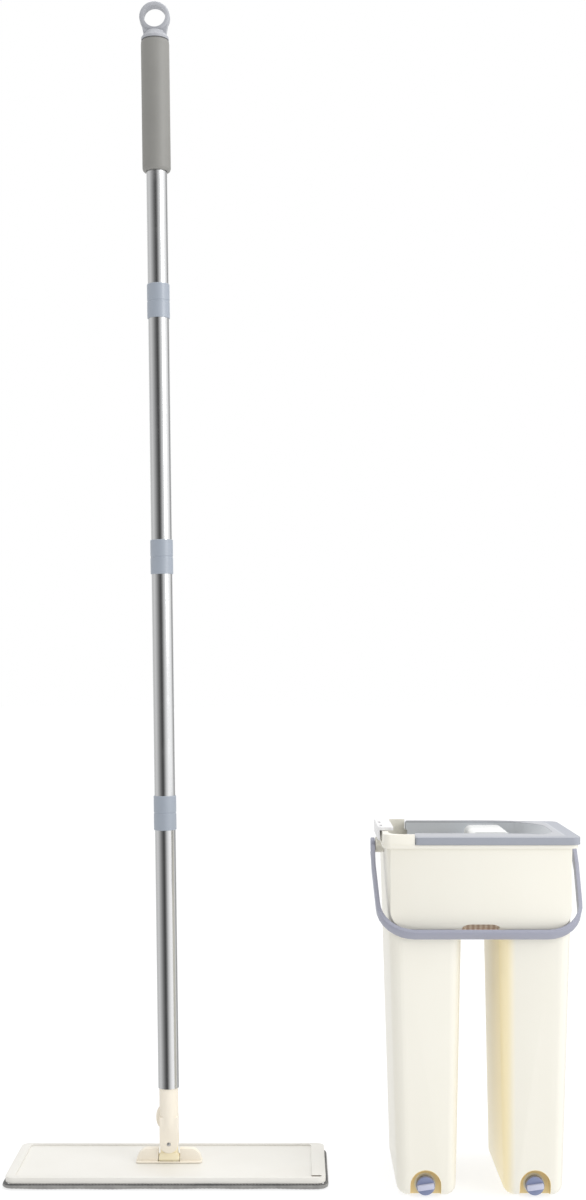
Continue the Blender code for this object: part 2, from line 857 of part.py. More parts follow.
def arch_wall():
    """A short wall behind the low arch, between the legs, with a row of upright ribs on its front."""
    face = -PANEL_HALF_Y + 10 * MM
    top = BASIN_LOW + 1.1 * MM
    wall = front_prism(
        "wall",
        round_corners(-24 * MM, 24 * MM, BASIN_LOW - 9 * MM, top, [0] * 4),
        face,
        face + 2.2 * MM,
    )
    for step in range(7):
        rib = cylinder("rib", 1.6 * MM, BASIN_LOW - 8.6 * MM, top - 0.3 * MM, 12)
        join(wall, shift(rib, (step - 3) * 5.2 * MM, face + 0.3 * MM))
    return wall


def arch_cut(half_width, low, top):
    """A low arch under the basin, between the legs."""
    outline = [(-half_width - 1.5 * MM, low), (half_width + 1.5 * MM, low)]
    outline += [(half_width, top - 2.5 * MM), (half_width * 0.8, top - 0.6 * MM), (half_width * 0.6, top)]
    outline += [(-half_width * 0.6, top), (-half_width * 0.8, top - 0.6 * MM), (-half_width, top - 2.5 * MM)]
    return outline


def hollow_out(body):
    """Cuts the basin and both legs hollow, open at the top."""
    basin = prism(
        "basin",
        round_corners(
            -BODY_HALF_X + WALL + 0.5 * MM,
            BODY_HALF_X - WALL - 0.5 * MM,
            -PANEL_HALF_Y + WALL,
            PANEL_HALF_Y - WALL,
            [16 * MM] * 4,
            5,
        ),
        BASIN_LOW + WALL,
        RIM_TOP + 10 * MM,
    )
    cut(body, basin)
    for side in (-1, 1):
        hollow = tapered_leg(side, WALL, WALL + 0.5 * MM, BASIN_LOW + 8 * MM, LEG_CORNER - WALL)
        rounded_foot(hollow, FOOT_ROUND - WALL)
        cut(body, cut(hollow, niche_bay(side)))


# --------------------------------------------------------------- squeeze lid


def lid_frame():
    """The squeeze lid: a crowned border round one large opening, with a sunk tray below it."""
    corner = [9 * MM, 3 * MM, 3 * MM, 9 * MM]
    outline = round_corners(LID_START, LID_HALF_X, -LID_HALF_Y, LID_HALF_Y, corner, 5)
    lid = prism("lid_frame", outline, LID_LOW, LID_EDGE)
    join(lid, lid_crown())
    tray = prism(
        "tray",
        round_corners(
            LID_START + 1 * MM,
            OPENING_RIGHT + 2 * MM,
            -67.5 * MM,
            67.5 * MM,
            [42 * MM, 8 * MM, 8 * MM, 42 * MM],
            8,
        ),
        TRAY_LOW,
        LID_LOW + 1 * MM,
    )
    join(lid, tray)
    opening_cuts(lid)
    paint(lid, BLUE_GREY, 0.42)
    shift(lid, BUCKET_X, BUCKET_Y)
    smooth(lid)


def lid_crown():
    """The top of the lid, which rises in one long, shallow slope towards the opening."""
    margin = 0.3 * MM
    outline = round_corners(
        LID_START + margin,
        LID_HALF_X - margin,
        -LID_HALF_Y + margin,
        LID_HALF_Y - margin,
        [9 * MM, 3 * MM, 3 * MM, 9 * MM],
        5,
    )
    crown = prism("crown", divided(outline, 12 * MM), LID_EDGE - 1 * MM, LID_CREST)
    rise_over = 17 * MM
    fall_from = 22 * MM
    fall = 2.0 * MM

    def place(point):
        if point.z < LID_EDGE:
            return point
        from_start = (point.x - LID_START) / (LID_HALF_X - LID_START)
        share = max(0.0, (point.x - fall_from) / (LID_HALF_X - fall_from))
        x = point.x - from_start * rise_over
        return Vector((x, point.y * (1 - rise_over / LID_HALF_Y), point.z - fall * share**2))

    return taper(crown, place)


def divided(outline, longest):
    """The same outline with extra points, so that no side is longer than longest."""
    points = []
    for index, start in enumerate(outline):
        end = outline[(index + 1) % len(outline)]
        pieces = max(1, math.ceil(math.dist(start, end) / longest))
        for step in range(pieces):
            share = step / pieces
            points.append((start[0] + (end[0] - start[0]) * share, start[1] + (end[1] - start[1]) * share))
    return points


def opening_cuts(lid):
    """The sunk opening, the wash opening to its left and the squeeze slot to its right."""
    floor = 343 * MM
    funnel = prism(
        "funnel",
        round_corners(
            LID_START - 10 * MM, OPENING_RIGHT, -OPENING_HALF_Y, OPENING_HALF_Y, [40 * MM, 0, 0, 40 * MM], 8
        ),
        floor,
        LID_CREST + 8 * MM,
    )

    def place(point):
        if point.z > LID_CREST:
            return point
        slope = 19 * MM
        near = max(0.0, (point.x - SLOT_LEFT) / (OPENING_RIGHT - SLOT_LEFT))
        return Vector((point.x - near * slope, point.y, point.z))

    taper(funnel, place)
    cut(lid, funnel)
    wash = prism(
        "wash",
        round_corners(
            LID_START + 3.5 * MM, BLOCK_LEFT - 4 * MM, -OPENING_HALF_Y, OPENING_HALF_Y, [5 * MM] * 4, 4
        ),
        TRAY_LOW - 5 * MM,
        floor + 5 * MM,
    )
    cut(lid, wash)
    slot = prism(
        "slot",
        round_corners(
            BLOCK_RIGHT - 11 * MM, SLOT_RIGHT, -OPENING_HALF_Y, OPENING_HALF_Y, [4 * MM, 0, 0, 4 * MM], 4
        ),
        TRAY_LOW - 5 * MM,
        floor + 5 * MM,
    )
    cut(lid, slot)


def wringer_block():
    """The white squeeze block, which slides on the tray and presses the pad in the slot."""
    block = front_prism(
        "wringer_block",
        round_corners(BLOCK_LEFT, BLOCK_RIGHT, 343.3 * MM, BLOCK_TOP, [7 * MM, 7 * MM, 1 * MM, 1 * MM], 5),
        -BLOCK_HALF_Y,
        BLOCK_HALF_Y,
    )
    soften(block, 0.9 * MM, 2, 60)
    paint(block, WHITE, 0.2)
    shift(block, BUCKET_X, BUCKET_Y)
    smooth(block)


def drain_plugs():
    """A round turn-plug in each niche, with a grip bar, a flange, a shank and two bayonet lugs."""
    front = -LEG_HALF_Y + 3.2 * MM
    back = NICHE_BACK
    for side, name in ((-1, "left"), (1, "right")):
        plug = across_y(cylinder(f"drain_plug_{name}", 9.4 * MM, front, back - 1.9 * MM, 32))
        soften(plug, 1.0 * MM, 2)
        shank = across_y(cylinder("shank", DRAIN_HOLE_R - GAP, back - 3 * MM, back + WALL + 4 * MM, 20))
        join(plug, shank)
        bar = front_prism(
            "bar",
            round_corners(-8.4 * MM, 8.4 * MM, -2.6 * MM, 2.6 * MM, [1.2 * MM] * 4, 3),
            front - 4.2 * MM,
            front + 2 * MM,
        )
        bar.data.transform(Matrix.Rotation(-PLUG_TILT, 4, "Y"))
        join(plug, soften(bar, 0.7 * MM, 2, 60))
        shift(plug, side * DRAIN_X + BUCKET_X, BUCKET_Y, DRAIN_Z)
        set_origin(plug, (side * DRAIN_X + BUCKET_X, BUCKET_Y + back, DRAIN_Z))
        paint(plug, PLUG_BLUE, 0.4)
        smooth(plug)
        seal = turned(f"drain_seal_{name}", ring_profile(DRAIN_HOLE_R + 0.1 * MM, 8.6 * MM, 1.2 * MM), 28)
        across_y(seal)
        shift(seal, side * DRAIN_X + BUCKET_X, BUCKET_Y + back - 0.95 * MM, DRAIN_Z)
        paint(seal, BLACK_RUBBER, 0.7)
        smooth(seal)


def ring_profile(inner, outer, thick):
    half = thick / 2
    soft = 0.3 * MM
    return (
        (outer - soft, half),
        (outer, half - soft),
        (outer, soft - half),
        (outer - soft, -half),
        (inner, -half),
        (inner, half),
    )


def bail_handle():
    """The strap bail: a flat strip bent round two corners, with a round eye and a peg at each end."""
    path = bail_path()
    strap = strip_along(path, BAIL_THICK, BAIL_WIDTH)
    strap.name = "bail_handle"
    for side in (-1, 1):
        x_far = side * BAIL_HALF_TOP
        x_near = side * (BAIL_HALF_TOP - BAIL_THICK)
        low, high = sorted((x_near, x_far))
        join(strap, across_x(cylinder("eye", 7.4 * MM, low, high, 28)))
        low, high = sorted((side * 92.5 * MM, side * (BAIL_HALF_TOP - 1 * MM)))
        join(strap, across_x(cylinder("peg", BAIL_PEG_R, low, high, 20)))
    soften(strap, 0.8 * MM, 2, 50)
    strap.data.transform(Matrix.Rotation(-BAIL_REST, 4, "X"))
    pivot = (BUCKET_X, BUCKET_Y, BAIL_PIVOT_Z)
    strap.location = pivot
    paint(strap, BLUE_GREY, 0.42)
    smooth(strap)


def bail_path():
    """The bail's middle line in XZ with the pivots at z = 0 and the bar hanging straight down."""
    half_top = BAIL_HALF_TOP - BAIL_THICK / 2
    half_low = BAIL_HALF_LOW - BAIL_THICK / 2
    corner_z = -BAIL_ARM + BAIL_CORNER
    right = [(half_top, 0.0), (half_top, -30 * MM)]
    for step in range(9):
        angle = math.radians(90 * step / 8)
        x = half_low - BAIL_CORNER + BAIL_CORNER * math.cos(angle)
        right.append((x, corner_z - BAIL_CORNER * math.sin(angle)))
    return right + [(-x, z) for x, z in reversed(right)]


def strip_along(path, thick, wide):
    """A strip of one thickness along a path in XZ, wide across Y."""
    sides = ([], [])
    for index, (x, z) in enumerate(path):
        before = Vector(path[max(index - 1, 0)])
        after = Vector(path[min(index + 1, len(path) - 1)])
        along = (after - before).normalized()
        across = Vector((-along.y, along.x)) * thick / 2
        sides[0].append((x + across.x, z + across.y))
        sides[1].append((x - across.x, z - across.y))
    return front_prism("strip", sides[0] + sides[1][::-1], -wide / 2, wide / 2)


def pole_clip():
    """A saddle clip hooked over the left rim, where the pole is parked against the bucket."""
    clip = prism(
        "pole_clip",
        round_corners(-100.7 * MM, -85.2 * MM, -42 * MM, 48 * MM, [3 * MM] * 4, 3),
        FLANGE_TOP + 0.5 * MM,
        RIM_TOP + 3.6 * MM,
    )
    soften(clip, 1.0 * MM, 2, 60)
    seat = prism(
        "seat",
        round_corners(-99.0 * MM, -80 * MM, -60 * MM, 60 * MM, [0] * 4),
        330 * MM,
        RIM_TOP + 0.4 * MM,
    )
    cut(clip, seat)
    for y in (-24 * MM, 8 * MM):
        slot = prism(
            "slot",
            round_corners(-98.6 * MM, -95.8 * MM, y - 7 * MM, y + 7 * MM, [1 * MM] * 4, 2),
            RIM_TOP + 1.6 * MM,
            RIM_TOP + 10 * MM,
        )
        cut(clip, slot)
    paint(clip, PALE_GREY, 0.4)
    shift(clip, BUCKET_X, BUCKET_Y)
    smooth(clip)


pole_tubes()
pole_collars()
coupler_studs()
grip_sleeve()
hang_ring_cap()
neck_socket()
neck_pin()
yoke_block()
yoke_pin()
hinge_saddle()
saddle_screws()
head_plate()
mop_pad()
bucket_body()
lid_frame()
wringer_block()
drain_plugs()
bail_handle()
pole_clip()
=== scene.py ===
"""The looks of a flat mop and its squeeze bucket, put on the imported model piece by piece.

Units are metres, +Z is up and the front faces -Y. The sections follow the set as it is put together:
the pole, the universal joint, the plate and its pad, then the bucket, its lid and its handle.
"""

import math

import bmesh
import bpy
from mathutils import Matrix, Vector


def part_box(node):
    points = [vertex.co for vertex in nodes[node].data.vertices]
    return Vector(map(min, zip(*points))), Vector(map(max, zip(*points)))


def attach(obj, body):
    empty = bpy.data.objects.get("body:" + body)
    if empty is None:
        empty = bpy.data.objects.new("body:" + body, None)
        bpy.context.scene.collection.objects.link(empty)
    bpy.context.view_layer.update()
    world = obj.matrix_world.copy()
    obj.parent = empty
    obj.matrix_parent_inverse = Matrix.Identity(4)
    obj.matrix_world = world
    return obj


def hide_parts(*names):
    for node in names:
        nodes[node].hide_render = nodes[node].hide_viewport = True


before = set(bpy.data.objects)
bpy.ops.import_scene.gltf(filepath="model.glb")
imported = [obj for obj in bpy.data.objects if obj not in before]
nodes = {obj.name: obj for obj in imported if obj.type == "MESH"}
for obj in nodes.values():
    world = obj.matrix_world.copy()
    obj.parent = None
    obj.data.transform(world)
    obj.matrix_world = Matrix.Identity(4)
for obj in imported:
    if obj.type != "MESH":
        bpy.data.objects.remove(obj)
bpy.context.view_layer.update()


# --- Pole tubes -----------------------------------------------------------------------------------
# Four lengths of thin stainless tube, drawn and polished, so the grain runs round the tube and along
# it lie faint drawing lines. They are screwed end to end through the studs inside them.

class Value:
    """A socket whose sums add Math nodes, and which adds any other node to the same material."""

    def __init__(self, tree, socket):
        self.tree = tree
        self.socket = socket

    def node(self, kind, settings, inputs, output=0):
        made = self.tree.nodes.new(kind)
        for name, setting in settings.items():
            if name == "stops":
                ramp = made.color_ramp
                while len(ramp.elements) < len(setting):
                    ramp.elements.new(1.0)
                for element, (position, colour) in zip(ramp.elements, setting):
                    element.position = position
                    element.color = (*colour, 1.0)
            else:
                setattr(made, name, setting)
        for name, value in inputs.items():
            if isinstance(value, Value):
                self.tree.links.new(value.socket, made.inputs[name])
            else:
                made.inputs[name].default_value = value
        return Value(self.tree, made.outputs[output])

    def maths(self, operation, first, second):
        return self.node("ShaderNodeMath", {"operation": operation}, {0: first, 1: second})

    def __add__(self, other):
        return self.maths("ADD", self, other)

    def __sub__(self, other):
        return self.maths("SUBTRACT", self, other)

    def __mul__(self, other):
        return self.maths("MULTIPLY", self, other)

    def __pow__(self, other):
        return self.maths("POWER", self, other)

    def __radd__(self, other):
        return self.maths("ADD", other, self)

    def __rsub__(self, other):
        return self.maths("SUBTRACT", other, self)

    def __rmul__(self, other):
        return self.maths("MULTIPLY", other, self)

    def into(self, socket):
        self.tree.links.new(self.socket, socket)

    def noise(self, scale, detail=3.0, roughness=0.55):
        inputs = {"Vector": self, "Scale": scale, "Detail": detail, "Roughness": roughness}
        return self.node("ShaderNodeTexNoise", {"noise_dimensions": "3D"}, inputs)

    def along(self, axis):
        return self.node("ShaderNodeSeparateXYZ", {}, {"Vector": self}, "XYZ".index(axis))

    def stretched(self, scale, turn=(0.0, 0.0, 0.0)):
        return self.node("ShaderNodeMapping", {}, {"Vector": self, "Scale": scale, "Rotation": turn})

    def size(self):
        return self.maths("ABSOLUTE", self, 0.0)

    def at_least(self, least):
        return self.maths("MAXIMUM", self, least)

    def sine(self):
        return self.maths("SINE", self, 0.0)

    def between(self, low, high):
        """0 below low, 1 above high and a smooth ramp between them."""
        settings = {"interpolation_type": "SMOOTHSTEP"}
        return self.node("ShaderNodeMapRange", settings, {"Value": self, "From Min": low, "From Max": high})

    def within(self, rise, fall):
        """Climbs from 0 to 1 over the two values of rise, and back to 0 over the two of fall."""
        return self.between(*rise) * (1 - self.between(*fall))

    def blend(self, first, second):
        """A colour that goes from first to second as this value goes from 0 to 1."""
        first_colour, second_colour, result = 6, 7, 2
        inputs = {"Factor": self, first_colour: opaque(first), second_colour: opaque(second)}
        return self.node("ShaderNodeMix", {"data_type": "RGBA"}, inputs, result)

    def bump(self, strength, distance):
        return self.node("ShaderNodeBump", {}, {"Height": self, "Strength": strength, "Distance": distance})


def opaque(colour):
    return colour if isinstance(colour, Value) else (*colour, 1.0)


def start_material(name, roughness, metallic=0.0):
    """A new material, its shader and its place value, which runs in the frame's own metres."""
    material = bpy.data.materials.new(name)
    material.use_nodes = True
    tree = material.node_tree
    shader = tree.nodes["Principled BSDF"].inputs
    shader["Roughness"].default_value = roughness
    shader["Metallic"].default_value = metallic
    place = Value(tree, tree.nodes.new("ShaderNodeTexCoord").outputs["Object"])
    return material, shader, place


def polished_steel(name, roughness):
    material, shader, place = start_material(name, roughness, 1.0)
    drawn = place.stretched((2600.0, 2600.0, 5.0)).noise(1.0, detail=2.0)
    rings = place.stretched((40.0, 40.0, 1500.0)).noise(1.0, detail=3.0)
    smudges = place.noise(22.0, detail=4.0, roughness=0.6).between(0.5, 0.72)
    tone = drawn * 0.5 + rings * 0.5
    tone.blend((0.60, 0.61, 0.62), (0.70, 0.70, 0.70)).into(shader["Base Color"])
    (roughness + rings * 0.05 + smudges * 0.10).into(shader["Roughness"])
    (drawn * 0.4 + rings * 0.6).bump(0.10, 0.00003).into(shader["Normal"])
    return material


def finish_node(name, material):
    """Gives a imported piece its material, rounds its shading and keeps its real edges crisp."""
    piece = nodes[name]
    piece.data.polygons.foreach_set("use_smooth", [True] * len(piece.data.polygons))
    weld = piece.modifiers.new("weld", "WELD")
    weld.merge_threshold = 0.00001
    split = piece.modifiers.new("crisp_edges", "EDGE_SPLIT")
    split.split_angle = math.radians(32)
    split.use_edge_sharp = False
    piece.data.materials.clear()
    piece.data.materials.append(material)


tube_steel = polished_steel("tube_steel", 0.13)
for number in range(1, 5):
    finish_node(f"pole_tube_{number}", tube_steel)


# --- Coupler studs, collars and end cap -----------------------------------------------------------
# Moulded polypropylene in a satin blue-grey. The mould is lightly blasted, so the skin has a fine
# even texture, and handling has polished and scuffed it here and there.

def moulded(name, colour, shade, roughness=0.42, grain=1500.0, gloss=0.5):
    """Injection-moulded plastic: a blasted skin, slow changes of tone, flow marks and fine scuffs."""
    material, shader, place = start_material(name, roughness)
    shader["Specular IOR Level"].default_value = gloss
    clouds = place.noise(9.0, detail=4.0, roughness=0.6)
    flow = place.stretched((18.0, 18.0, 5.0)).noise(1.0, detail=3.0)
    skin = place.noise(grain, detail=2.0, roughness=0.5)
    scuffs = place.stretched((260.0, 260.0, 30.0), (0.5, 0.4, 0.3)).noise(1.0, detail=5.0, roughness=0.7)
    scuffs = scuffs.between(0.60, 0.72)
    tone = clouds * 0.6 + flow * 0.4
    tone.between(0.30, 0.75).blend(colour, shade).into(shader["Base Color"])
    (roughness - 0.05 + clouds * 0.08 + skin * 0.06 + scuffs * 0.10).into(shader["Roughness"])
    (skin + scuffs * 0.5).bump(0.16, 0.00006).into(shader["Normal"])
    return material


stud_plastic = moulded("stud_plastic", (0.84, 0.80, 0.70), (0.78, 0.74, 0.63))
collar_plastic = moulded("collar_plastic", (0.345, 0.385, 0.445), (0.325, 0.365, 0.425), 0.30, gloss=0.8)
for number in range(1, 4):
    finish_node(f"coupler_stud_{number}", stud_plastic)
    finish_node(f"pole_collar_{number}", collar_plastic)
finish_node("hang_ring_cap", moulded("cap_plastic", (0.41, 0.42, 0.45), (0.385, 0.395, 0.425)))


# --- Grip sleeve ----------------------------------------------------------------------------------
# A tube of warm grey soft-touch foam rubber, slipped over the top tube and held by its own grip.
# Its skin is matt, with open pores and a faint sheen where hands hold it.

def foam_rubber(name):
    material, shader, place = start_material(name, 0.55)
    shader["Specular IOR Level"].default_value = 0.75
    clouds = place.noise(30.0, detail=4.0, roughness=0.6)
    skin = place.noise(2300.0, detail=3.0, roughness=0.6)
    pores = place.noise(1100.0, detail=1.0, roughness=0.4).between(0.62, 0.74)
    tone = clouds * 0.7 + skin * 0.3
    tone.between(0.3, 0.75).blend((0.262, 0.258, 0.242), (0.238, 0.234, 0.219)).into(shader["Base Color"])
    (0.56 - clouds * 0.12 + pores * 0.10).into(shader["Roughness"])
    (skin * 0.6 - pores * 0.8).bump(0.28, 0.00012).into(shader["Normal"])
    return material


finish_node("grip_sleeve", foam_rubber("grip_foam"))


# --- Universal joint ------------------------------------------------------------------------------
# The neck, its cross block and the saddle are cream mouldings on two plain steel pins. The saddle is
# held down by four screws that come up from under the plate.

joint_plastic = moulded("joint_plastic", (0.92, 0.855, 0.74), (0.89, 0.82, 0.70), 0.38)
yoke_plastic = moulded("yoke_plastic", (0.99, 0.91, 0.68), (0.97, 0.88, 0.64), 0.40)
pin_steel = polished_steel("pin_steel", 0.28)
finish_node("neck_socket", joint_plastic)
finish_node("hinge_saddle", joint_plastic)
finish_node("yoke_block", yoke_plastic)
for name in ("neck_pin", "yoke_pin", *(f"saddle_screw_{number}" for number in range(1, 5))):
    finish_node(name, pin_steel)


# --- Head plate -----------------------------------------------------------------------------------
# One flat cream moulding with a raised border and a small latch slot in its front right corner. A fine
# blasted skin covers it, and painted shade darkens the inside of the slot to a dark brown.

plate_low, plate_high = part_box("head_plate")


def reopen(material):
    """The shader, place value and skin colour of a finished material, for a second tone over the skin."""
    tree = material.node_tree
    shader = tree.nodes["Principled BSDF"].inputs
    place = Value(tree, tree.nodes["Texture Coordinate"].outputs["Object"])
    skin = Value(tree, shader["Base Color"].links[0].from_socket)
    return shader, place, skin


def plate_plastic(name):
    """Cream plastic, with painted shade in dark brown inside the latch slot."""
    slot_shadow_brown = (0.22, 0.17, 0.12)
    material = moulded(name, (0.80, 0.785, 0.74), (0.78, 0.76, 0.71), 0.40)
    shader, place, skin = reopen(material)
    slot_left = plate_high.x - 0.0154, plate_high.x - 0.0150
    slot_right = plate_high.x - 0.0040, plate_high.x - 0.0036
    slot_front = plate_low.y + 0.0041, plate_low.y + 0.0045
    slot_back = plate_low.y + 0.0085, plate_low.y + 0.0089
    # Painted shade: the slot's sunk floor and walls are coloured dark brown for the shade that falls in them.
    in_slot = place.along("X").within(slot_left, slot_right) * place.along("Y").within(slot_front, slot_back)
    sunk = 1 - place.along("Z").between(plate_high.z - 0.0004, plate_high.z - 0.0002)
    (in_slot * sunk).blend(skin, slot_shadow_brown).into(shader["Base Color"])
    return material


finish_node("head_plate", plate_plastic("plate_plastic"))


# --- Microfibre pad -------------------------------------------------------------------------------
# A quilted pad of grey microfibre on foam, a little larger than the plate. Its edge is rolled up in a
# binding tape, sewn down with one row of stitches. On a real mop, hook strips under the plate hold it.

def microfibre(name, pale, dark, nap=1400.0):
    """Short, crushed pile in tufts: soft clumps of colour, fine fibres and no gloss."""
    material, shader, place = start_material(name, 0.95)
    shader["Specular IOR Level"].default_value = 0.15
    shader["Sheen Weight"].default_value = 0.35
    shader["Sheen Roughness"].default_value = 0.6
    clumps = place.noise(160.0, detail=4.0, roughness=0.7)
    fibres = place.noise(nap, detail=3.0, roughness=0.7)
    crushed = place.noise(28.0, detail=3.0, roughness=0.6)
    tone = clumps * 0.4 + fibres * 0.3 + crushed * 0.3
    tone.between(0.35, 0.68).blend(dark, pale).into(shader["Base Color"])
    (0.88 + fibres * 0.10).into(shader["Roughness"])
    (clumps * 0.6 + fibres * 0.4).bump(0.6, 0.0006).into(shader["Normal"])
    return material


def select_only(piece):
    bpy.ops.object.select_all(action="DESELECT")
    piece.select_set(True)
    bpy.context.view_layer.objects.active = piece


def settle(piece):
    """Puts a piece's place into its mesh, so that the object itself sits unturned at the origin."""
    select_only(piece)
    bpy.ops.object.transform_apply(location=True, rotation=True, scale=True)


pad_low, pad_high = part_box("mop_pad")


def quilted_pad():
    """The pad's body: a slab that the cloth simulation plumps up between the floor and the plate."""
    room_for_tape = Vector((0.006, 0.006, 0.0011))
    corner_radius, tolerance = 0.009, 0.001
    low, high = pad_low + room_for_tape, pad_high - room_for_tape
    bpy.ops.object.select_all(action="DESELECT")
    bpy.ops.mesh.primitive_cube_add(size=1.0, location=(low + high) / 2, scale=high - low)
    pad = bpy.context.object
    pad.name = "microfibre_pad"
    settle(pad)
    bpy.ops.object.mode_set(mode="EDIT")
    work = bmesh.from_edit_mesh(pad.data)
    for edge in work.edges:
        ends = [vertex.co for vertex in edge.verts]
        edge.select = abs(ends[0].z - ends[1].z) > tolerance
    bmesh.update_edit_mesh(pad.data)
    bpy.ops.mesh.bevel(offset=corner_radius, segments=6)
    bpy.ops.object.mode_set(mode="OBJECT")
    voxel = pad.modifiers.new("voxel", "REMESH")
    voxel.mode = "VOXEL"
    voxel.voxel_size = 0.0022
    bpy.ops.object.modifier_apply(modifier="voxel")
    plump(pad)
    bpy.ops.object.modifier_add(type="SUBSURF")
    bpy.ops.object.modifier_apply(modifier=pad.modifiers[-1].name)
    bpy.ops.object.shade_smooth()
    return pad


def plump(pad):
    """Blows the slab up like a cushion and keeps each point near where it began."""
    most = 0.0014
    lowest, highest = 0.0002, pad_high.z - 0.0001
    last_step = 12
    start = [vertex.co.copy() for vertex in pad.data.vertices]
    cloth = pad.modifiers.new("cloth", "CLOTH")
    cloth.settings.use_pressure = True
    cloth.settings.uniform_pressure_force = 4.0
    cloth.settings.effector_weights.gravity = 0.0
    cloth.settings.quality = 4
    cloth.collision_settings.use_collision = False
    for step in range(1, last_step + 1):
        bpy.context.scene.frame_set(step)
    bpy.ops.object.modifier_apply(modifier="cloth")
    bpy.context.scene.frame_set(1)
    for vertex, was in zip(pad.data.vertices, start):
        move = vertex.co - was
        if move.length > most:
            move *= most / move.length
        vertex.co = was + move
        vertex.co.z = min(max(vertex.co.z, lowest), highest)


def edge_path(inset, step):
    """Points round the pad's rounded outline, a given inset from its edge and about a step apart."""
    corner = 0.011 - inset
    corner_steps = 5
    half_x = (pad_high.x - pad_low.x) / 2 - inset
    half_y = (pad_high.y - pad_low.y) / 2 - inset
    middle = (pad_low + pad_high) / 2
    points = []
    for quarter in range(4):
        turn = Matrix.Rotation(math.radians(90 * quarter), 3, "Z")
        along, across = (half_x, half_y) if quarter % 2 == 0 else (half_y, half_x)
        straight = 2 * (across - corner)
        steps = int(straight / step)
        for index in range(steps):
            points.append(turn @ Vector((along, straight * (index / steps - 0.5), 0.0)) + middle)
        for index in range(corner_steps):
            angle = math.radians(90 * index / corner_steps)
            spot_x = along - corner + corner * math.cos(angle)
            spot_y = across - corner + corner * math.sin(angle)
            points.append(turn @ Vector((spot_x, spot_y, 0.0)) + middle)
    return points


def binding_tape():
    """The rolled edge: one tube round the pad, gathered a little by its stitches."""
    radius, off_floor, gathered = 0.0024, 0.0005, 0.93
    points = edge_path(radius, 0.0022)
    curve = bpy.data.curves.new("binding_tape", "CURVE")
    curve.dimensions = "3D"
    curve.bevel_depth = radius
    curve.bevel_resolution = 5
    spline = curve.splines.new("POLY")
    spline.points.add(len(points) - 1)
    for index, (knot, point) in enumerate(zip(spline.points, points)):
        ripple = 0.00022 * math.sin(index * 0.21) + 0.00016 * math.sin(index * 0.057 + 1.0)
        knot.co = (point.x, point.y, radius + off_floor + ripple, 1.0)
        knot.radius = gathered if index % 2 == 0 else 1.0
    spline.use_cyclic_u = True
    tape = bpy.data.objects.new("binding_tape", curve)
    bpy.context.scene.collection.objects.link(tape)
    select_only(tape)
    bpy.ops.object.convert(target="MESH")
    bpy.ops.object.shade_smooth()
    return tape


def stitches():
    """One row of short thread stitches on top of the binding, each a stretched bead."""
    thread_radius, on_top = 0.00032, 0.0052
    stretch = Matrix.Diagonal((3.4, 1.0, 0.7, 1.0))
    points = edge_path(0.0022, 0.0033)
    bpy.ops.object.select_all(action="DESELECT")
    bpy.ops.mesh.primitive_uv_sphere_add(segments=6, ring_count=5, radius=thread_radius)
    bead = bpy.context.object
    mesh = bead.data
    work = bmesh.new()
    for index, point in enumerate(points):
        ahead = points[(index + 1) % len(points)] - point
        turn = ahead.to_track_quat("X", "Z").to_matrix().to_4x4()
        place = Matrix.Translation((point.x, point.y, on_top)) @ turn @ stretch
        start = len(work.verts)
        work.from_mesh(mesh)
        work.verts.ensure_lookup_table()
        bmesh.ops.transform(work, matrix=place, verts=work.verts[start:])
    work.to_mesh(mesh)
    work.free()
    bead.name = "binding_stitches"
    bpy.ops.object.shade_smooth()
    return bead


def tape_cloth(name):
    """Woven tape, with a painted shadow, almost black, along its top beside the plate's edge."""
    shadow_low, shadow_high = 0.0042, 0.0049
    material = microfibre(name, (0.32, 0.315, 0.305), (0.22, 0.215, 0.21), nap=2200.0)
    shader, place, skin = reopen(material)
    # Painted shadow: the tape's top, in the gap under the plate's edge, is coloured almost black.
    in_plate_shadow = place.along("Z").between(shadow_low, shadow_high)
    in_plate_shadow.blend(skin, (0.05, 0.05, 0.05)).into(shader["Base Color"])
    return material


pad = quilted_pad()
pad.data.materials.append(microfibre("pad_pile", (0.34, 0.33, 0.32), (0.20, 0.195, 0.19)))
tape = binding_tape()
tape.data.materials.append(tape_cloth("tape_weave"))
thread = stitches()
thread.data.materials.append(microfibre("stitch_thread", (0.50, 0.49, 0.47), (0.40, 0.39, 0.37), nap=3000.0))
for piece in (pad, tape, thread):
    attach(piece, "mop_head")
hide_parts("mop_pad")


# --- Bucket body ----------------------------------------------------------------------------------
# A thin-walled cream moulding: two hollow legs, the basin over them and the rim, all in one piece. Warm
# bounce light is painted into its colour where wall faces wall, between the legs and in the drain bays,
# and painted shade fills the arch under the basin. The clip, the seals and the plugs are mouldings of
# their own, pushed into place.

body_low, body_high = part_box("bucket_body")
body_x = (body_low.x + body_high.x) / 2
plug_low, plug_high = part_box("drain_plug_right")
plug_x = (plug_low.x + plug_high.x) / 2 - body_x
plug_z = (plug_low.z + plug_high.z) / 2


